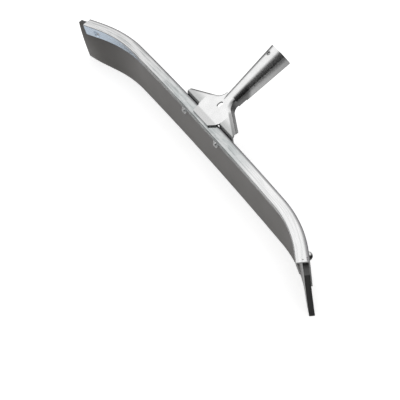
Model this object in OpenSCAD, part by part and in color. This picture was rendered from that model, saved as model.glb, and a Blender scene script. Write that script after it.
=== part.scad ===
// Curved-end floor squeegee: a rubber blade clamped in a folded steel channel,
// with a stamped steel bracket that ends in a tapered handle socket.
// The origin is the middle of the blade's bottom edge, +X runs along the blade,
// +Y points back to the handle and +Z points up.

/* [Blade] */
// Tip to tip width of the blade, along its middle surface
overall_w = 610; // [560:5:760]
// Thickness of the rubber
blade_t = 6.35; // [5:0.05:8]
// Height of the rubber strip
blade_h = 59.5; // [54:0.5:75]
// Length of rubber that sticks out past each end of the channel
blade_over = 15.5; // [8:0.5:25]

/* [Plan curve] */
// Radius of the slight bow of the middle
bow_r = 7700; // [6000:100:12000]
// Radius of the curve near each end
end_r = 217; // [180:1:260]
// Angle that each end has turned forward
end_a = 25.4; // [15:0.1:35]
// Straight stretch of channel at each end
tail = 17; // [10:1:30]

/* [Channel] */
// Thickness of the channel's sheet
sheet_t = 1.6; // [1.2:0.1:2]
// Width of the channel's top
web_w = 15.5; // [14:0.5:20]
// Height from the top of the rubber to the channel's top face
web_drop = 5; // [3:0.5:7]
// Height of the slanted front flange
flange_h = 16.8; // [16:0.1:20]
// Gap that opens between the front flange's lower edge and the rubber at the ends
flange_gap = 2.8; // [0:0.1:3.5]
// Height of the upright back leg
leg_h = 36; // [26:1:40]
// Outside radius of the channel's two folds
fold_r = 1.9; // [1.8:0.1:3]

/* [Screws and rivets] */
// Diameter of the screws and rivets
screw_d = 4.8; // [4:0.1:5]
// Depth of the screws and rivets below the channel's top face
screw_drop = 11; // [11:0.1:12.5]
// Distance of each screw from the middle
screw_x = 42; // [38:1:48]
// Distance of each rivet from the end of the channel
rivet_in = 20.5; // [19:0.5:40]
// Diameter of the round heads
head_d = 10; // [9:0.5:11]
// Height of the round heads
head_h = 4; // [3:0.1:5]
// Diameter of the rivet's set tail
tail_d = 6.5; // [6:0.1:7]
// Width of the nut across its flats
nut_af = 9.5; // [8:0.1:9.5]
// Thickness of the nut
nut_t = 4; // [3:0.1:5]
// Thickness of the lock washer
washer_t = 1.2; // [1:0.1:1.5]

/* [Bracket] */
// Thickness of the bracket's sheet
plate_t = 2; // [1.6:0.1:2.5]
// Slope of the flat plate
plate_tilt = 23; // [18:1:28]
// Half the width across the two wings
wing_x = 58.8; // [54:0.2:64]
// Width of the gap between a wing's foot and the middle tab
foot_gap = 0.4; // [0.4:0.1:3]
// Half the width of the tab at its front edge
tab_x = 19; // [16:0.5:22]
// Height of the wings' feet below the channel's top face
foot_drop = 21; // [18:0.5:26]
// Outside radius of the fold between plate and feet
foot_fold_r = 4.4; // [3:0.1:4.4]
// Outside radius of the fold along the wings and the neck
rim_r = 3; // [2.6:0.1:3.4]
// Depth of the turned down rim along the wings
rim_h = 11.5; // [8:0.5:12]

/* [Handle socket] */
// Outside diameter of the socket's mouth
mouth_d = 31.3; // [29:0.1:34]
// Outside diameter of the socket's inner end
root_d = 20; // [18:0.1:21]
// Length of the socket along its axis
socket_len = 92; // [88:1:96]
// Slope of the socket's axis
socket_tilt = 29.3; // [27:0.1:32]
// Diameter of the hole for the handle screw
pin_hole_d = 5.5; // [4:0.1:6]
// Distance of the handle screw's hole from the mouth
pin_hole_in = 10.6; // [8:0.1:16]
// Length of the socket's closed part, from the mouth
closed_len = 68; // [60:1:72]
// Length of the socket's open-bottomed part, from the mouth
open_len = 80; // [74:1:84]

/* [Hidden] */
$fn = 64;
sweep_fn = 180;
bow_steps = 6;
arc_steps = 16;
cut = 0.5;
fit_gap = 0.05;
fold_lap = 5;
fold_skin = 0.03;

// Levels and faces of the channel, around the blade's middle surface at y = 0
top_z = blade_h + web_drop;
leg_in = blade_t / 2 + fit_gap;
leg_out = leg_in + sheet_t;
web_front = leg_out - web_w;
screw_z = top_z - screw_drop;
seat_in = -blade_t / 2 - fit_gap;
screw_seat_r = 7.3;
rivet_seat_r = 4.8;

// Turning of the plan curve: a slight bow, then an arc, then a straight tail
bow_a = asin((overall_w / 2 - end_r * sin(end_a) - (tail + blade_over) * cos(end_a)) / (bow_r - end_r));
arc_centre = [0, -bow_r] + (bow_r - end_r) * [sin(bow_a), cos(bow_a)];
arc_end = arc_centre + end_r * [sin(end_a), cos(end_a)];
rivet_a = end_a - (rivet_in - tail) / end_r * 180 / PI;
screw_a = screw_x / bow_r * 180 / PI;

// Middle of the fold between the channel's top and its slanted front flange
flange_centre = [web_front + fold_r, top_z - fold_r];

// Nut and washer positions, forward of the blade's middle surface
seat_out = seat_in - sheet_t;
nut_y = seat_out - washer_t;

// The bracket's plate starts where the tab's top meets its slope
plate_y = 2.3;
plate_z = top_z + plate_t;
tab_front = -7.1;
tab_fold_r = 4;
tab_back_x = 24.5;
tab_run = tab_fold_r * tan(plate_tilt / 2);

// Fold between the plate and the upright feet
fold_y = leg_out + foot_fold_r;
fold_v = (fold_y - plate_y - foot_fold_r * sin(plate_tilt)) / cos(plate_tilt);
fold_z = plate_z + (fold_y - plate_y) * tan(plate_tilt) - foot_fold_r / cos(plate_tilt);
foot_x = tab_back_x + 2 + foot_gap;
foot_corner_r = 5;

// Outline of the plate, in its own plane: wing edge, round neck, straight neck
wing_a = 22.5;
wing_v = 9;
wing_normal = [sin(wing_a), cos(wing_a)];
neck_x = 10.7;
neck_r = 12.3;
neck_centre = [neck_x + neck_r,
               (wing_normal * [wing_x, wing_v] + neck_r - wing_normal[0] * (neck_x + neck_r)) / wing_normal[1]];
wing_top = neck_centre - neck_r * wing_normal;
wing_len = norm(wing_top - [wing_x, wing_v]);
slot_v = 20;
slot_l = 9;
slot_w = 6.5;

// Socket: a cone whose mouth is behind and above the plate
mouth_y = 108.7;
mouth_z = top_z + 46.8;
seam_w = 1.4;
open_side = 5;

// ---- plan curve ----

// Places along one half of the curve, from the middle to the end: point and turning
function half_stations(past_arc) = concat(
    [for (i = [0 : bow_steps]) let (a = bow_a * i / bow_steps) [[0, -bow_r] + bow_r * [sin(a), cos(a)], a]],
    [for (i = [1 : arc_steps]) let (a = bow_a + (end_a - bow_a) * i / arc_steps)
        [arc_centre + end_r * [sin(a), cos(a)], a]],
    [[arc_end + past_arc * [cos(end_a), -sin(end_a)], end_a]]
);

// Places along the whole curve, from the left end to the right end
function stations(past_arc) = let (half = half_stations(past_arc), n = len(half)) concat(
    [for (i = [1 : n - 1]) [[-half[n - i][0][0], half[n - i][0][1]], -half[n - i][1]]],
    half
);

// Joins closed outlines, one at each place on the plan curve: their x points back, their y up
module swept(outlines, past_arc) {
    places = stations(past_arc);
    n = len(places);
    m = len(outlines[0]);
    polyhedron(
        points = [for (j = [0 : n - 1], q = outlines[j])
            [places[j][0][0] + q[0] * sin(places[j][1]), places[j][0][1] + q[0] * cos(places[j][1]), q[1]]],
        faces = concat(
            [[for (i = [0 : m - 1]) i]],
            [for (j = [0 : n - 2], i = [0 : m - 1])
                [j * m + i, (j + 1) * m + i, (j + 1) * m + (i + 1) % m, j * m + (i + 1) % m]],
            [[for (i = [0 : m - 1]) n * m - 1 - i]]
        )
    );
}

// Moves a piece to a screw's place, with +Y pointing back
module at_screw(side) {
    mirror([side, 0, 0])
        translate([0, -bow_r, screw_z])
            rotate(-screw_a)
                translate([0, bow_r, 0])
                    children();
}

// Moves a piece to a rivet's place, with +Y pointing back
module at_rivet(side) {
    mirror([side, 0, 0])
        translate([arc_centre[0], arc_centre[1], screw_z])
            rotate(-rivet_a)
                translate([0, end_r, 0])
                    children();
}

// A cylinder along Y, between two places
module rod_y(r, from, to) {
    translate([0, to, 0])
        rotate([90, 0, 0])
            cylinder(r = r, h = to - from);
}

module screw_holes() {
    for (side = [0, 1]) {
        at_screw(side) rod_y(screw_d / 2 + 0.2, -25, 25);
        at_rivet(side) rod_y(screw_d / 2 + 0.2, -25, 25);
    }
}

// ---- channel ----

function arc_points(centre, r, a0, a1, steps) =
    [for (i = [0 : steps]) let (a = a0 + (a1 - a0) * i / steps) centre + r * [cos(a), sin(a)]];

// Gap between the flange's lower edge and the rubber, where the curve has turned by an angle
function gap_at(turn) = flange_gap * max(0, (abs(turn) - bow_a) / (end_a - bow_a));

// Reach from the fold's middle to the flange's lower edge
function flange_run(gap) = [seat_in - gap - flange_centre[0], flange_h - fold_r];

// Slant of the flange
function flange_lean(gap) =
    let (run = flange_run(gap)) atan2(run[0], run[1]) + asin((fold_r - sheet_t) / norm(run));

// Folded sheet: upright back leg, flat top, slanted front flange
function channel_outline(gap) =
    let (
        r_in = fold_r - sheet_t,
        lean = flange_lean(gap),
        back_centre = [leg_out - fold_r, top_z - fold_r],
        lean_x = [cos(lean), sin(lean)],
        flange_len = sqrt(pow(norm(flange_run(gap)), 2) - pow(r_in, 2)),
        flange_foot = flange_centre + flange_len * [sin(lean), -cos(lean)]
    ) concat(
        [[leg_out, top_z - leg_h]],
        arc_points(back_centre, fold_r, 0, 90, 5),
        arc_points(flange_centre, fold_r, 90, 180 + lean, 6),
        [flange_foot - fold_r * lean_x, flange_foot - r_in * lean_x],
        arc_points(flange_centre, r_in, 180 + lean, 90, 6),
        arc_points(back_centre, r_in, 90, 0, 5),
        [[leg_in, top_z - leg_h]]
    );

// Round seat pressed back from the slanted front flange until it meets the rubber
module seat(r, gap) {
    difference() {
        rod_y(r, web_front, seat_in);
        translate([0, flange_centre[0], top_z - screw_z - fold_r])
            rotate([flange_lean(gap), 0, 0])
                translate([-2 * r, -flange_h - fold_r + sheet_t / 4, -2 * flange_h])
                    cube([4 * r, flange_h, 4 * flange_h]);
        rod_y(r - sheet_t * 0.6, -25, seat_out);
    }
}

// The folded steel channel, with a round seat for each screw and rivet
module frame_channel() {
    color("gainsboro")
    difference() {
        union() {
            difference() {
                swept([for (place = stations(tail)) channel_outline(gap_at(place[1]))], tail);
                for (side = [0, 1]) {
                    at_screw(side) rod_y(screw_seat_r - sheet_t * 0.6, -25, seat_out);
                    at_rivet(side) rod_y(rivet_seat_r - sheet_t * 0.6, -25, seat_out);
                }
            }
            for (side = [0, 1]) {
                at_screw(side) seat(screw_seat_r, gap_at(screw_a));
                at_rivet(side) seat(rivet_seat_r, gap_at(rivet_a));
            }
        }
        screw_holes();
    }
}

// ---- rubber ----

module rubber_blade() {
    half_t = blade_t / 2;
    outline = [[half_t, 0], [half_t, blade_h], [-half_t, blade_h], [-half_t, 0]];
    past_arc = tail + blade_over;
    color("dimgray")
    difference() {
        swept([for (place = stations(past_arc)) outline], past_arc);
        screw_holes();
    }
}

// ---- bracket ----

// Moves a piece into the plate's plane: x across, y up the slope, z out of the top
module in_plate() {
    translate([0, plate_y, plate_z])
        rotate([plate_tilt, 0, 0])
            children();
}

// Fold of a sheet from angle a0 to angle a1, a hair thinner than the flats it runs into
module fold(r_out, r_in, a0, a1) {
    from = a0 - fold_lap;
    step = (a1 + fold_lap - from) / 4;
    intersection() {
        difference() {
            circle(r_out - fold_skin);
            circle(r_in + fold_skin);
        }
        polygon([[0, 0], for (i = [0 : 4]) 2 * r_out * [cos(from + i * step), sin(from + i * step)]]);
    }
}

// Extrudes a drawing of the sheet's side view, y and z, across a width in x
module across(x_from, x_to) {
    translate([x_from, 0, 0])
        rotate([90, 0, 90])
            linear_extrude(x_to - x_from)
                children();
}

// Flat part of one half of the plate, without its rim
module half_plate_outline() {
    inner = neck_centre - (neck_r + rim_r) * wing_normal;
    tip = [wing_x, wing_v] - rim_r * wing_normal;
    difference() {
        polygon([
            [0, tab_run],
            [tab_back_x, tab_run],
            [tab_back_x + 2, (leg_out - plate_y) / cos(plate_tilt)],
            [tab_back_x + 2, fold_v],
            [wing_x, fold_v],
            [wing_x, tip[1] + (tip[0] - wing_x) * tan(wing_a)],
            inner,
            [neck_x - rim_r, neck_centre[1]],
            [0, neck_centre[1]]
        ]);
        translate(neck_centre)
            circle(neck_r + rim_r);
        translate([foot_x - foot_gap / 2, fold_v])
            circle(foot_gap / 2);
    }
}

// Side view of the rim: a quarter fold and a short leg; x = 0 is its outer face
module rim_section() {
    translate([rim_r, -rim_r])
        fold(rim_r, rim_r - plate_t, 90, 180);
    translate([0, -rim_h])
        square([plate_t, rim_h - rim_r]);
}

// Rim along one wing and round one side of the neck
module half_rim() {
    difference() {
        translate([wing_top[0], wing_top[1], 0])
            rotate([90, 0, 90 - wing_a])
                linear_extrude(wing_len)
                    mirror([1, 0])
                        rim_section();
        translate([wing_x, 0, 0])
            rotate([0, 45, 0])
                translate([0, 0, -3 * rim_h])
                    cube([3 * rim_h, 2 * wing_x, 6 * rim_h]);
    }
    translate([neck_centre[0], neck_centre[1], 0])
        rotate(180)
            rotate_extrude(angle = 90 - wing_a, $fn = sweep_fn)
                translate([neck_r, 0])
                    rim_section();
}

// Tab that lies on the channel's top
module tab() {
    translate([0, 0, top_z])
        linear_extrude(plate_t)
            polygon([
                [-tab_x, tab_front],
                [tab_x, tab_front],
                [tab_back_x, plate_y - tab_run],
                [-tab_back_x, plate_y - tab_run]
            ]);
    across(-tab_back_x, tab_back_x)
        translate([plate_y - tab_run, plate_z + tab_fold_r])
            fold(tab_fold_r + plate_t, tab_fold_r, -90, -90 + plate_tilt);
}

// Upright foot behind the channel's back leg, with its fold up to the plate
module foot() {
    foot_w = wing_x - foot_x;
    across(foot_x, wing_x)
        translate([fold_y, fold_z])
            fold(foot_fold_r, foot_fold_r - plate_t, 90 + plate_tilt, 180);
    translate([foot_x, leg_out, 0])
        rotate([90, 0, 0])
            mirror([0, 0, 1])
                linear_extrude(plate_t) {
                    translate([0, top_z - foot_drop + foot_corner_r])
                        square([foot_w, fold_z - top_z + foot_drop - foot_corner_r]);
                    translate([foot_corner_r, top_z - foot_drop])
                        square([foot_w - 2 * foot_corner_r, foot_drop]);
                    for (x = [foot_corner_r, foot_w - foot_corner_r])
                        translate([x, top_z - foot_drop + foot_corner_r])
                            circle(foot_corner_r);
                }
}

// Moves a piece onto the socket's axis: z runs from the mouth down to the root
module on_socket_axis() {
    translate([0, mouth_y, mouth_z])
        rotate([90 + socket_tilt, 0, 0])
            children();
}

// Outside of the rolled socket, whose bottom opens as it flattens into the plate
module socket_body() {
    on_socket_axis()
        difference() {
            cylinder(d1 = mouth_d, d2 = root_d, h = socket_len);
            translate([-mouth_d, -mouth_d - open_side, closed_len])
                cube([2 * mouth_d, mouth_d, socket_len]);
            translate([-mouth_d, -mouth_d, open_len])
                cube([2 * mouth_d, mouth_d + open_side / 2, socket_len]);
        }
}

// Hollow of the socket, its seam and the hole for the handle screw
module socket_hollow() {
    slope = (mouth_d - root_d) / socket_len;
    on_socket_axis() {
        translate([0, 0, -cut])
            cylinder(d1 = mouth_d - 2 * plate_t + slope * cut, d2 = root_d - 2 * plate_t - slope * cut,
                     h = socket_len + 2 * cut);
        translate([-seam_w / 2, -mouth_d, -cut])
            cube([seam_w, mouth_d, socket_len + 2 * cut]);
        translate([0, 0, pin_hole_in])
            rotate([-90, 0, 0])
                cylinder(d = pin_hole_d, h = mouth_d);
    }
}

module slot_hole() {
    reach = (slot_l - slot_w) / 2;
    translate([0, slot_v, -2 * plate_t])
        linear_extrude(4 * plate_t) {
            translate([-slot_w / 2, -reach])
                square([slot_w, 2 * reach]);
            for (side = [-1, 1])
                translate([0, side * reach])
                    circle(d = slot_w);
        }
}

// One stamped sheet: tab, plate, wings with turned down rims, feet, rolled socket
module socket_bracket() {
    color("whitesmoke")
    difference() {
        union() {
            tab();
            for (side = [0, 1])
                mirror([side, 0, 0]) {
                    foot();
                    in_plate() {
                        translate([0, 0, -plate_t])
                            linear_extrude(plate_t)
                                half_plate_outline();
                        half_rim();
                    }
                }
            socket_body();
        }
        socket_hollow();
        in_plate() slot_hole();
        screw_holes();
    }
}

// ---- fasteners ----

// Domed head along Y that bears on the given place
module round_head(bears_at) {
    dome_r = (pow(head_d / 2, 2) + pow(head_h, 2)) / (2 * head_h);
    intersection() {
        translate([0, bears_at + head_h - dome_r, 0])
            sphere(r = dome_r);
        rod_y(head_d / 2, bears_at, bears_at + head_h + cut);
    }
}

// Slotted round head screw, which holds the bracket, the channel and the rubber together
module screw() {
    bears_at = leg_out + plate_t;
    color("silver")
    difference() {
        union() {
            rod_y(screw_d / 2, nut_y - nut_t - 1.5, bears_at + cut);
            round_head(bears_at);
        }
        translate([-0.6, bears_at + head_h / 2, -head_d])
            cube([1.2, head_h, 2 * head_d]);
    }
}

// Round head rivet, set on the front flange
module rivet() {
    color("silver") {
        rod_y(screw_d / 2, seat_out - cut, leg_out + cut);
        round_head(leg_out);
        rod_y(tail_d / 2, seat_out - washer_t, seat_out);
    }
}

// Split ring under the nut
module lock_washer() {
    color("silver")
    difference() {
        rod_y(screw_d / 2 + 1.9, nut_y, seat_out);
        rod_y(screw_d / 2 + 0.25, nut_y - cut, seat_out + cut);
        translate([0, nut_y - cut, -0.5])
            cube([head_d, washer_t + 2 * cut, 1]);
    }
}

// Hexagon nut with chamfered outer corners
module nut() {
    across_corners = nut_af / cos(30);
    color("silver")
    difference() {
        intersection() {
            translate([0, nut_y, 0])
                rotate([90, 0, 0])
                    cylinder(d = across_corners, h = nut_t, $fn = 6);
            translate([0, nut_y, 0])
                rotate([90, 0, 0])
                    cylinder(d1 = across_corners + 2 * nut_t, d2 = nut_af, h = nut_t);
        }
        rod_y(screw_d / 2 + 0.05, nut_y - nut_t - cut, nut_y + cut);
    }
}

frame_channel();
rubber_blade();
socket_bracket();
at_rivet(1) rivet();  // rivet_left
at_rivet(0) rivet();  // rivet_right
at_screw(1) screw();  // screw_left
at_screw(0) screw();  // screw_right
at_screw(1) lock_washer();  // lock_washer_left
at_screw(0) lock_washer();  // lock_washer_right
at_screw(1) nut();  // nut_left
at_screw(0) nut();  // nut_right
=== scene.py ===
import math

import bmesh
import bpy
from mathutils import Matrix, Vector

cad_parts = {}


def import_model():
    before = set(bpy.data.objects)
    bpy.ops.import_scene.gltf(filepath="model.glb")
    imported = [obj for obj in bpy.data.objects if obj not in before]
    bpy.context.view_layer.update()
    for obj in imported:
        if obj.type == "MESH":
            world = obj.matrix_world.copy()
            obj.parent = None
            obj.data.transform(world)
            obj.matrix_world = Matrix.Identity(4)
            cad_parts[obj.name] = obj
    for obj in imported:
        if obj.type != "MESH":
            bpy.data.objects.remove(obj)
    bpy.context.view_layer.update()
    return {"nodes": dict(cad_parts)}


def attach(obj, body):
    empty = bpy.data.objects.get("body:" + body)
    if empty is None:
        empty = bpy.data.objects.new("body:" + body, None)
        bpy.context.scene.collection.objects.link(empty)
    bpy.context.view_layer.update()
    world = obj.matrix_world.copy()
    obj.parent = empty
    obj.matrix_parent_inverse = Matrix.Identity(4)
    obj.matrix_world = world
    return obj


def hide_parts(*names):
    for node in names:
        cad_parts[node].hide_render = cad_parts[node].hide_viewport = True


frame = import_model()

MM = 0.001

# ---- dimensions, as in the CAD ----

# Blade and plan curve
OVERALL_W = 610 * MM
BLADE_T = 6.35 * MM
BLADE_H = 59.5 * MM
BLADE_OVER = 15.5 * MM
BOW_R = 7700 * MM
END_R = 217 * MM
END_A = math.radians(25.4)
TAIL = 17 * MM

# Channel
SHEET_T = 1.6 * MM
WEB_W = 15.5 * MM
WEB_DROP = 5 * MM
FLANGE_H = 16.8 * MM
FLANGE_GAP = 2.8 * MM
LEG_H = 36 * MM
FOLD_R = 1.9 * MM
FIT_GAP = 0.05 * MM

# Fasteners
SCREW_DROP = 11 * MM
SCREW_X = 42 * MM
RIVET_IN = 20.5 * MM
SCREW_SEAT_R = 7.3 * MM
RIVET_SEAT_R = 4.8 * MM

# Bracket: direction and place of the wings' edges seen from above, centre and radius of the neck's round
PLATE_TILT = math.radians(23)
WING_A = math.radians(22.5)
WING_NORMAL = (math.sin(WING_A), math.cos(WING_A) / math.cos(PLATE_TILT), 0)
WING_EDGE = 30.8 * MM
NECK_X = 23 * MM
NECK_Y = 36.5 * MM
NECK_R = 12.3 * MM

TOP_Z = BLADE_H + WEB_DROP
SCREW_Z = TOP_Z - SCREW_DROP
LEG_IN = BLADE_T / 2 + FIT_GAP
LEG_OUT = LEG_IN + SHEET_T
WEB_FRONT = LEG_OUT - WEB_W
SEAT_IN = -BLADE_T / 2 - FIT_GAP
SEAT_OUT = SEAT_IN - SHEET_T
FOLD_IN_R = FOLD_R - SHEET_T
BOW_A = math.asin((OVERALL_W / 2 - END_R * math.sin(END_A) - (TAIL + BLADE_OVER) * math.cos(END_A))
                  / (BOW_R - END_R))
BOW_LEN = BOW_R * BOW_A
ARC_LEN = END_R * (END_A - BOW_A)
FRAME_HALF = BOW_LEN + ARC_LEN + TAIL
BLADE_HALF = FRAME_HALF + BLADE_OVER
RIVET_S = FRAME_HALF - RIVET_IN
SEATS = [(-RIVET_S, RIVET_SEAT_R), (-SCREW_X, SCREW_SEAT_R),
         (SCREW_X, SCREW_SEAT_R), (RIVET_S, RIVET_SEAT_R)]

# Distances round the channel's outline, from the bottom of the leg's outer face
BACK_FOLD_AT = LEG_H - FOLD_R
FRONT_FOLD_AT = LEG_H + WEB_W - 1.5 * FOLD_R
FLANGE_AT = 52.5 * MM
FLANGE_EDGE_AT = 69 * MM
INNER_LEG_AT = 98 * MM

# ---- what only the looks have ----

# How far the leg's ends stand off the blade, and where down the leg that starts and how soon it is full
LEG_FLARE = 0.5 * MM
FLARE_FROM = 14 * MM
FLARE_OVER = 20 * MM
# How far the blade's lower corners hang back at its left and right ends, and how much of its length bends
LEFT_HANG = 8 * MM
LEFT_BEND = 60 * MM
RIGHT_HANG = 1.5 * MM
RIGHT_BEND = 40 * MM
BLADE_ROUND = 0.5 * MM
# Width of the slope round each seat
SEAT_SLOPE = 1.6 * MM
# Small dimples on the channel's top near its right end, shown as spots of painted shade: distances from
# the end and from the front fold
SHADED_DIMPLES = [(3.8 * MM, 6.2 * MM), (2.8 * MM, 11 * MM), (5.8 * MM, 11 * MM)]


# ---- plan curve ----

def station(s):
    """Point on the plan curve at distance s from the middle, and the curve's turning there."""
    side = math.copysign(1, s)
    s = abs(s)
    arc_centre = Vector(((BOW_R - END_R) * math.sin(BOW_A), -BOW_R + (BOW_R - END_R) * math.cos(BOW_A)))
    if s <= BOW_LEN:
        turn = s / BOW_R
        point = Vector((0, -BOW_R)) + BOW_R * Vector((math.sin(turn), math.cos(turn)))
    else:
        turn = min(BOW_A + (s - BOW_LEN) / END_R, END_A)
        point = arc_centre + END_R * Vector((math.sin(turn), math.cos(turn)))
        point += max(0, s - BOW_LEN - ARC_LEN) * Vector((math.cos(turn), -math.sin(turn)))
    return Vector((side * point.x, point.y)), side * turn


def on_curve(s, back, z):
    """Point at distance s along the curve, that far behind it and at that height."""
    point, turn = station(s)
    return Vector((point.x + back * math.sin(turn), point.y + back * math.cos(turn), z))


def ease(share):
    """Share from 0 to 1 with a soft start and a soft end."""
    share = min(1, max(0, share))
    return share * share * (3 - 2 * share)


# ---- outlines ----

def arc_points(centre, r, a0, a1, steps):
    """Points on an arc, between two angles in degrees."""
    angles = [math.radians(a0 + (a1 - a0) * i / steps) for i in range(steps + 1)]
    return [(centre[0] + r * math.cos(a), centre[1] + r * math.sin(a)) for a in angles]


def rounded(outline, r, steps=3):
    """Outline with each corner cut by a small round of radius r; nearly straight corners stay."""
    points = []
    for i, corner in enumerate(outline):
        here = Vector(corner)
        before = (Vector(outline[i - 1]) - here).normalized()
        after = (Vector(outline[(i + 1) % len(outline)]) - here).normalized()
        half = before.angle(after) / 2
        if half > math.radians(80):
            points.append(here)
            continue
        reach = r / math.tan(half)
        centre = here + (before + after).normalized() * (r / math.sin(half))
        start = here + before * reach - centre
        finish = here + after * reach - centre
        for k in range(steps + 1):
            points.append(centre + (start.lerp(finish, k / steps)).normalized() * r)
    return points


def flange_lean(s):
    """Middle of the flange's fold, the flange's slant and its length; it stands off at the ends."""
    centre = Vector((WEB_FRONT + FOLD_R, TOP_Z - FOLD_R))
    gap = FLANGE_GAP * max(0, (abs(station(s)[1]) - BOW_A) / (END_A - BOW_A))
    run = Vector((SEAT_IN - gap - centre.x, FLANGE_H - FOLD_R))
    lean = math.atan2(run.x, run.y) + math.asin(FOLD_IN_R / run.length)
    return centre, lean, math.sqrt(run.length_squared - FOLD_IN_R ** 2)


def channel_outline(s):
    """Outline of the folded sheet at distance s along the curve."""
    centre, lean, length = flange_lean(s)
    turned = 180 + math.degrees(lean)
    foot = centre + length * Vector((math.sin(lean), -math.cos(lean)))
    across = Vector((math.cos(lean), math.sin(lean)))
    back = (LEG_OUT - FOLD_R, TOP_Z - FOLD_R)
    outer_foot = foot - FOLD_R * across
    inner_foot = foot - FOLD_IN_R * across
    outer_top = centre - FOLD_R * across
    inner_top = centre - FOLD_IN_R * across
    strip = [k / 12 for k in range(1, 12)]
    return ([(LEG_OUT, TOP_Z - LEG_H)]
            + arc_points(back, FOLD_R, 0, 90, 6)
            + [(back[0] + (centre.x - back[0]) * k / 8, TOP_Z) for k in range(1, 8)]
            + arc_points(centre, FOLD_R, 90, turned, 7)
            + [tuple(outer_top.lerp(outer_foot, k)) for k in strip]
            + [tuple(outer_foot), tuple(inner_foot)]
            + [tuple(inner_foot.lerp(inner_top, k)) for k in strip]
            + arc_points(centre, FOLD_IN_R, turned, 90, 5)
            + arc_points(back, FOLD_IN_R, 90, 0, 5)
            + [(LEG_IN, TOP_Z - LEG_H)])


def blade_outline():
    """Outline of the blade, with points down both sides so that it can bend."""
    half_t = BLADE_T / 2
    sides = ([(half_t, BLADE_H * k / 12) for k in range(13)]
             + [(-half_t, BLADE_H * (1 - k / 12)) for k in range(13)])
    return rounded(sides, BLADE_ROUND)


# ---- channel and blade ----

def smooth(piece, degrees):
    """Shades a piece smooth, except at edges sharper than the angle."""
    for polygon in piece.data.polygons:
        polygon.use_smooth = True
    piece.data.set_sharp_from_angle(angle=math.radians(degrees))


def sweep(name, outline_at, half_len, step, shape):
    """Piece swept along the curve, with its distances along and across kept as attributes."""
    count = 2 * round(half_len / step) + 1
    places = [half_len * (2 * i / (count - 1) - 1) for i in range(count)]
    middle = outline_at(0)
    girth = [0.0]
    for a, b in zip(middle, middle[1:]):
        girth.append(girth[-1] + (Vector(b) - Vector(a)).length)
    mesh = bpy.data.meshes.new(name)
    bm = bmesh.new()
    along = bm.verts.layers.float.new("along")
    across = bm.verts.layers.float.new("across")
    rings = []
    for s in places:
        ring = []
        for (back, z), g in zip(outline_at(s), girth):
            vert = bm.verts.new(on_curve(s, shape(s, back, z), z))
            vert[along] = s
            vert[across] = g
            ring.append(vert)
        rings.append(ring)
    for one, two in zip(rings, rings[1:]):
        for i in range(len(middle)):
            k = (i + 1) % len(middle)
            bm.faces.new((one[i], two[i], two[k], one[k]))
    bm.faces.new(rings[0])
    bm.faces.new(list(reversed(rings[-1])))
    bmesh.ops.recalc_face_normals(bm, faces=bm.faces)
    bm.to_mesh(mesh)
    bm.free()
    piece = bpy.data.objects.new(name, mesh)
    bpy.context.scene.collection.objects.link(piece)
    smooth(piece, 35)
    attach(piece, "root")
    return piece


def pressed(s, back, z):
    """Presses a round flat seat into the flange at each screw and rivet, and flares the leg's ends."""
    if back > 0:
        down = ease((TOP_Z - FLARE_FROM - z) / FLARE_OVER)
        return back + LEG_FLARE * down * ease((abs(s) - BOW_LEN) / ARC_LEN)
    if z > TOP_Z - SHEET_T - 0.5 * MM:
        return back
    centre, lean, _ = flange_lean(s)
    slant = centre.x + (centre.y - z) * math.tan(lean)
    inner = back > slant - (FOLD_R + FOLD_IN_R) / 2 / math.cos(lean)
    target = SEAT_IN if inner else SEAT_OUT
    inside = max(r - math.hypot(s - place, z - SCREW_Z) for place, r in SEATS)
    return back + (max(target, back) - back) * ease(inside / SEAT_SLOPE)


def blade_flex(s, back, z):
    """The free ends hang back a little at their lower corners."""
    low = max(0, 1 - z / BLADE_H) ** 1.5
    left = max(0, (-s - (BLADE_HALF - LEFT_BEND)) / LEFT_BEND) ** 2
    right = max(0, (s - (BLADE_HALF - RIGHT_BEND)) / RIGHT_BEND) ** 2
    return back + (LEFT_HANG * left + RIGHT_HANG * right) * low


channel = sweep("channel", channel_outline, half_len=FRAME_HALF, step=2 * MM, shape=pressed)
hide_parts("frame_channel")

blade = sweep("blade", lambda s: blade_outline(), half_len=BLADE_HALF, step=4 * MM, shape=blade_flex)
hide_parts("rubber_blade")


# ---- materials ----

UP = (0, 0, 1)
FRONT = (0, -1, 0)


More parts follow.
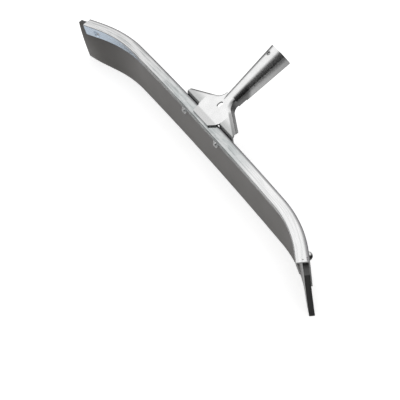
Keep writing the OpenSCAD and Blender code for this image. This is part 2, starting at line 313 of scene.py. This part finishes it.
class Nodes:
    """Short way to add shader nodes to a node tree."""

    def __init__(self, tree):
        self.tree = tree

    def add(self, kind, inputs=None, **settings):
        node = self.tree.nodes.new(kind)
        for key, value in settings.items():
            setattr(node, key, value)
        for key, value in (inputs or {}).items():
            self.put(node.inputs[key], value)
        return node

    def put(self, socket, value):
        """Links a socket to another, or sets it to a value."""
        if isinstance(value, bpy.types.NodeSocket):
            self.tree.links.new(value, socket)
        else:
            socket.default_value = value

    def place(self):
        """Position on the piece."""
        return self.add("ShaderNodeTexCoord").outputs["Object"]

    def normal(self):
        return self.add("ShaderNodeNewGeometry").outputs["Normal"]

    def turned_away(self):
        """0 where the surface faces the eye, rising to 1 at its rim."""
        return self.add("ShaderNodeLayerWeight", {"Blend": 0.5}).outputs["Facing"]

    def split(self, vector):
        """The vector's parts, by axis."""
        return self.add("ShaderNodeSeparateXYZ", {"Vector": vector}).outputs

    def join(self, x, y):
        return self.add("ShaderNodeCombineXYZ", {"X": x, "Y": y}).outputs["Vector"]

    def length(self, vector):
        return self.add("ShaderNodeVectorMath", {"Vector": vector}, operation="LENGTH").outputs["Value"]

    def toward(self, direction, target):
        """How far a vector reaches in a target direction."""
        node = self.add("ShaderNodeVectorMath", operation="DOT_PRODUCT")
        self.put(node.inputs[0], direction)
        self.put(node.inputs[1], Vector(target).normalized())
        return node.outputs["Value"]

    def math(self, operation, first, second=0.0):
        node = self.add("ShaderNodeMath", operation=operation)
        self.put(node.inputs[0], first)
        self.put(node.inputs[1], second)
        return node.outputs["Value"]

    def times(self, first, second):
        return self.math("MULTIPLY", first, second)

    def less(self, first, second):
        return self.math("SUBTRACT", first, second)

    def spread(self, value, low, high, first=0.0, last=1.0):
        """Number that eases from first to last as the value goes from low to high."""
        sockets = {"Value": value, "From Min": low, "From Max": high, "To Min": first, "To Max": last}
        return self.add("ShaderNodeMapRange", sockets, interpolation_type="SMOOTHSTEP").outputs["Result"]

    def pick(self, share, first, last):
        """Number between two numbers, by a share from 0 to 1."""
        mix = self.add("ShaderNodeMix", {"Factor": share})
        self.put(mix.inputs[2], first)
        self.put(mix.inputs[3], last)
        return mix.outputs[0]

    def blend(self, share, first, last):
        """Colour between two colours, by a share from 0 to 1."""
        mix = self.add("ShaderNodeMix", {"Factor": share}, data_type="RGBA")
        self.put(mix.inputs[6], first)
        self.put(mix.inputs[7], last)
        return mix.outputs[2]

    def noise(self, vector, scale, detail=2.0):
        """Noise from 0 to 1, at scales given per axis."""
        place = self.add("ShaderNodeMapping", {"Vector": vector, "Scale": scale}).outputs["Vector"]
        sockets = {"Vector": place, "Scale": 1.0, "Detail": detail}
        return self.add("ShaderNodeTexNoise", sockets).outputs["Fac"]


def new_material(name):
    material = bpy.data.materials.new(name)
    material.use_nodes = True
    n = Nodes(material.node_tree)
    return material, n, n.tree.nodes["Principled BSDF"]


def grey(value, tint=(1, 1, 1)):
    return tuple(value * t for t in tint) + (1,)


def with_painted_rim_shade(n, colour, share):
    """Colour with painted shade that turns darker where the surface turns away from the eye."""
    return n.blend(n.times(n.spread(n.turned_away(), 0.62, 0.98), share), colour, grey(0.05))


def channel_zinc():
    """Zinc plate with streaks along the channel: greener in the middle, whiter to the right."""
    material, n, shader = new_material("channel_zinc")
    along = n.add("ShaderNodeAttribute", attribute_name="along").outputs["Fac"]
    across = n.add("ShaderNodeAttribute", attribute_name="across").outputs["Fac"]
    place = n.join(along, across)
    right = n.spread(along, 80 * MM, 140 * MM)
    green = (0.95, 1, 1)

    left = n.blend(n.spread(along, -180 * MM, -50 * MM), grey(0.76), grey(0.6, green))
    base = n.blend(right, left, grey(0.94))
    streaks = n.spread(n.noise(place, (16, 420, 1)), 0.47, 0.6)
    worn = n.blend(n.times(streaks, n.pick(right, 0.55, 0.2)), base, grey(0.36, green))
    blotches = n.spread(n.noise(place, (60, 160, 1), 3), 0.42, 0.6)
    colour = n.blend(n.times(blotches, n.pick(right, 0.35, 0.1)), worn, grey(0.9))

    # Painted shade: a dark band along the back fold.
    onto_fold = n.spread(across, BACK_FOLD_AT + 0.4 * MM, BACK_FOLD_AT + 1.9 * MM)
    off_fold = n.spread(across, BACK_FOLD_AT + 2.9 * MM, BACK_FOLD_AT + 5.7 * MM, 0.8, 0.0)
    colour = n.blend(n.times(onto_fold, off_fold), colour, grey(0.17, (1, 0.97, 1.03)))
    # Painted shade: a dark spot at each small dimple.
    for from_end, from_front in SHADED_DIMPLES:
        dimple = n.add("ShaderNodeVectorMath", {"Vector": place}, operation="DISTANCE")
        dimple.inputs[1].default_value = (FRAME_HALF - from_end, FRONT_FOLD_AT - from_front, 0)
        near = n.spread(dimple.outputs["Value"], 0.5 * MM, 1.3 * MM, 0.8, 0.0)
        colour = n.blend(near, colour, grey(0.12))
    # Painted shade on the leg's inner face, inside the channel.
    inner_leg = n.spread(across, INNER_LEG_AT - 2 * MM, INNER_LEG_AT)
    colour = n.blend(inner_leg, colour, grey(0.2))
    flange = n.times(n.spread(across, FLANGE_AT - 1.5 * MM, FLANGE_AT), n.less(1, inner_leg))
    # Painted reflection: a bluish tint on the flange's left part.
    blue_reflection = n.times(flange, n.spread(along, -200 * MM, -150 * MM, 1.0, 0.0))
    n.put(shader.inputs["Base Color"], n.blend(blue_reflection, colour, grey(1.0, (0.74, 0.86, 1))))

    outer_flange = n.times(flange, n.spread(across, FLANGE_EDGE_AT, FLANGE_EDGE_AT + 0.5 * MM, 1.0, 0.0))
    n.put(shader.inputs["Metallic"], n.pick(outer_flange, 0.95, 0.5))
    n.put(shader.inputs["Roughness"], n.spread(blotches, 0, 1, 0.17, 0.28))
    return material


def cut_zinc():
    """Dull edge of the cut sheet."""
    material, n, shader = new_material("cut_zinc")
    grain = n.noise(n.place(), (400, 400, 400))
    n.put(shader.inputs["Base Color"], n.blend(grain, grey(0.28), grey(0.4)))
    shader.inputs["Metallic"].default_value = 0.2
    shader.inputs["Roughness"].default_value = 0.5
    return material


def mottled_zinc(name, rough):
    """Clean zinc plate with a faint mottle; its colour is still to be joined."""
    material, n, shader = new_material(name)
    place = n.place()
    clouds = n.spread(n.noise(place, (90, 90, 90), 3), 0.3, 0.7)
    specks = n.noise(place, (600, 600, 600))
    shader.inputs["Metallic"].default_value = 1.0
    n.put(shader.inputs["Roughness"], n.spread(specks, 0.35, 0.65, rough - 0.06, rough + 0.06))
    bump = n.add("ShaderNodeBump", {"Height": specks, "Strength": 0.08, "Distance": 0.2 * MM})
    n.put(shader.inputs["Normal"], bump.outputs["Normal"])
    return material, n, shader, place, clouds


def fastener_zinc(name, shade):
    """Zinc plate of the fasteners, with painted shade by that share where it faces the right end."""
    material, n, shader, _, clouds = mottled_zinc(name, 0.25)
    # Painted shade on the side facing the right end.
    shaded = n.times(n.spread(n.toward(n.normal(), (0.9, 0.2, -0.1)), 0.5, 0.85), shade)
    colour = n.blend(shaded, n.blend(clouds, grey(0.78), grey(0.85)), grey(0.03))
    n.put(shader.inputs["Base Color"], with_painted_rim_shade(n, colour, 0.75))
    return material


def fold_shade_lines(n, axes):
    """Share of the painted shade lines along the wings' edges and round the neck, wider on the right side.
    """
    on_right = n.spread(axes["X"], -1 * MM, 1 * MM)
    outward = n.math("ABSOLUTE", axes["X"])
    from_edge = n.less(WING_EDGE, n.toward(n.join(outward, axes["Y"]), WING_NORMAL))
    right_edge = n.times(n.spread(from_edge, 3 * MM, 4.6 * MM, 1.0, 0.0),
                         n.spread(from_edge, -0.7 * MM, 0.8 * MM, 0.0, 0.65))
    left_edge = n.spread(from_edge, 2 * MM, 3.4 * MM, 0.85, 0.0)
    wings = n.times(n.pick(on_right, left_edge, right_edge), n.spread(outward, 18 * MM, 26 * MM))
    below = n.math("MAXIMUM", n.less(NECK_Y, axes["Y"]))
    from_neck = n.less(n.length(n.join(n.less(outward, NECK_X), below)), NECK_R)
    right_neck = n.spread(from_neck, 1.2 * MM, 5.2 * MM, 0.75, 0.0)
    left_neck = n.spread(from_neck, 1.3 * MM, 3.5 * MM, 0.85, 0.0)
    only_neck = n.times(n.spread(axes["Y"], 20 * MM, 32 * MM),
                        n.spread(axes["Y"], 52 * MM, 60 * MM, 1.0, 0.0))
    return n.math("MAXIMUM", wings, n.times(n.pick(on_right, left_neck, right_neck), only_neck))


def bracket_zinc():
    """Bright zinc plate, with painted shade on the tab, in the folds above the feet, along the wings'
    edges and round the neck, and on the turned rims.
    """
    material, n, shader, place, clouds = mottled_zinc("bracket_zinc", 0.22)
    axes = n.split(place)
    colour = n.blend(clouds, grey(0.89), grey(0.95))
    # Painted shade: the tab darker grey.
    tab = n.spread(axes["Y"], 1.2 * MM, 3.4 * MM, 1.0, 0.0)
    colour = n.blend(tab, colour, grey(0.68))
    # Painted shade in the folds above the feet.
    wing = n.spread(n.math("ABSOLUTE", axes["X"]), 26 * MM, 28 * MM)
    foot_fold = n.times(wing, n.spread(axes["Y"], 8 * MM, 19 * MM, 0.5, 0.0))
    colour = n.blend(foot_fold, colour, grey(0.25, (0.92, 1, 0.97)))
    # Painted shade along the wings' edges and round the neck.
    colour = n.blend(fold_shade_lines(n, axes), colour, grey(0.14))
    # Painted shade on the turned rims, which are also darker where they turn away from the eye.
    upright = n.spread(n.toward(n.normal(), UP), 0.2, 0.7, 1.0, 0.0)
    rim = n.times(upright, n.spread(axes["Y"], 50 * MM, 60 * MM, 0.8, 0.0))
    n.put(shader.inputs["Base Color"], with_painted_rim_shade(n, n.blend(rim, colour, grey(0.3)), 0.75))
    return material


def rubber():
    """Grey rubber with a painted sheen, lighter where it is seen at a glance."""
    material, n, shader = new_material("rubber")
    clouds = n.noise(n.place(), (25, 25, 25), 4)
    turned = n.turned_away()
    # Painted sheen: the body colour lightens where the surface turns away from the eye.
    body = n.blend(n.spread(turned, 0.35, 0.75), grey(0.085, (1.05, 1, 0.93)), grey(0.22, (1.04, 1, 0.97)))
    worn = n.blend(n.times(clouds, 0.25), body, grey(0.06))
    # Painted sheen on the front face where it is seen at a glance.
    front = n.spread(n.toward(n.normal(), FRONT), 0.0, 0.5)
    sheen = n.times(front, n.spread(turned, 0.82, 1.0))
    n.put(shader.inputs["Base Color"], n.blend(sheen, worn, grey(0.5)))
    shader.inputs["Roughness"].default_value = 0.6
    return material


def cut_rubber():
    """Near black rubber of the sawn ends and the top edge, with faint upright saw marks and painted light
    on the top edge.
    """
    material, n, shader = new_material("cut_rubber")
    marks = n.spread(n.noise(n.place(), (900, 900, 12)), 0.35, 0.65)
    end = n.blend(marks, grey(0.008), grey(0.017))
    # Painted light: the top edge lighter where it faces up.
    top = n.spread(n.toward(n.normal(), UP), 0.4, 0.8)
    n.put(shader.inputs["Base Color"], n.blend(top, end, grey(0.055)))
    shader.inputs["Roughness"].default_value = 0.55
    return material


def is_end(face):
    """Only the two end faces of a swept piece have more than four corners."""
    return len(face.vertices) > 4


def dress(piece, main, second, is_second):
    """Gives a piece its main material, and a second one on some of its faces."""
    piece.data.materials.append(main)
    piece.data.materials.append(second)
    for face in piece.data.polygons:
        face.material_index = 1 if is_second(face) else 0


def dress_cad(node, material, edge):
    """Gives a CAD node its material and slightly rounded edges."""
    node.data.materials.clear()
    node.data.materials.append(material)
    bevel = node.modifiers.new("edge", "BEVEL")
    bevel.width = edge
    bevel.segments = 2
    bevel.limit_method = "ANGLE"
    bevel.angle_limit = math.radians(40)


dress(channel, channel_zinc(), cut_zinc(), is_end)
dress(blade, rubber(), cut_rubber(), lambda face: is_end(face) or face.normal.z > 0.7)
bracket_material = bracket_zinc()
screw_material = fastener_zinc("screw_zinc", 0.0)
rivet_material = fastener_zinc("rivet_zinc", 0.9)
for name, node in frame["nodes"].items():
    if name in ("frame_channel", "rubber_blade"):
        continue
    if name == "socket_bracket":
        dress_cad(node, bracket_material, 0.35 * MM)
    elif name.startswith("rivet"):
        dress_cad(node, rivet_material, 0.2 * MM)
    else:
        dress_cad(node, screw_material, 0.2 * MM)


# ---- studio ----

ROOM = 0.85
FLOOR_GLOW = 0.55
FLOOR_HALF = 30
FLOOR_DROP = 0.2 * MM


def world():
    """White studio that the metal sees darker on its right side and all round near the floor."""
    bpy.context.scene.view_settings.view_transform = "Standard"
    studio = bpy.data.worlds.new("studio")
    bpy.context.scene.world = studio
    studio.use_nodes = True
    n = Nodes(studio.node_tree)
    direction = n.add("ShaderNodeTexCoord").outputs["Generated"]
    side = n.spread(n.toward(direction, (0.907, -0.193, 0.375)), 0.42, 0.92, 0.97, 0.05)
    low = n.spread(n.toward(direction, UP), 0.06, 0.52, 0.12, 1.0)
    path = n.add("ShaderNodeLightPath").outputs
    seen = n.pick(path["Is Camera Ray"], ROOM, 1.0)
    background = n.tree.nodes["Background"]
    background.inputs["Color"].default_value = grey(1)
    n.put(background.inputs["Strength"], n.pick(path["Is Glossy Ray"], seen, n.times(side, low)))


def paper_floor():
    """White paper that the metal sees darker away from the piece."""
    h = FLOOR_HALF
    mesh = bpy.data.meshes.new("floor")
    mesh.from_pydata([(-h, -h, 0), (h, -h, 0), (h, h, 0), (-h, h, 0)], [], [(0, 1, 2, 3)])
    floor = bpy.data.objects.new("floor", mesh)
    floor.location.z = -FLOOR_DROP
    bpy.context.scene.collection.objects.link(floor)
    material, n, shader = new_material("paper")
    path = n.add("ShaderNodeLightPath").outputs
    axes = n.split(n.place())
    sideways = n.times(n.math("ABSOLUTE", axes["X"]), 0.15)
    behind_right = n.times(n.math("MAXIMUM", axes["X"]), n.spread(axes["Y"], 0, 60 * MM, 0.0, 0.55))
    away = n.length(n.join(n.math("ADD", sideways, behind_right), axes["Y"]))
    mirrored = n.blend(n.spread(away, 30 * MM, 320 * MM), grey(0.7), grey(0.09))
    n.put(shader.inputs["Base Color"], n.blend(path["Is Glossy Ray"], grey(0.8), mirrored))
    shader.inputs["Roughness"].default_value = 1.0
    shader.inputs["Emission Color"].default_value = grey(1)
    n.put(shader.inputs["Emission Strength"], n.times(path["Is Camera Ray"], FLOOR_GLOW))
    mesh.materials.append(material)


# ---- camera ----

AZIMUTH = math.radians(68.52)
ELEVATION = math.radians(39.16)
ROLL = math.radians(-8.46)
TARGET = Vector((50.4, -42.8, -11.0)) * MM
DISTANCE = 1649 * MM
LENS = 123.3
SENSOR = 36


def camera():
    """Looks along the blade from its right end, from above and a little in front."""
    back = Vector((math.sin(AZIMUTH) * math.cos(ELEVATION), -math.cos(AZIMUTH) * math.cos(ELEVATION),
                   math.sin(ELEVATION)))
    level = Vector((math.cos(AZIMUTH), math.sin(AZIMUTH), 0))
    above = back.cross(level)
    right = math.cos(ROLL) * level + math.sin(ROLL) * above
    up = back.cross(right)
    data = bpy.data.cameras.new("camera")
    data.lens = LENS
    data.sensor_width = SENSOR
    data.clip_end = 100
    cam = bpy.data.objects.new("camera", data)
    cam.matrix_world = Matrix((right, up, back)).transposed().to_4x4()
    cam.location = TARGET + DISTANCE * back
    bpy.context.scene.collection.objects.link(cam)
    bpy.context.scene.camera = cam


world()
paper_floor()
camera()
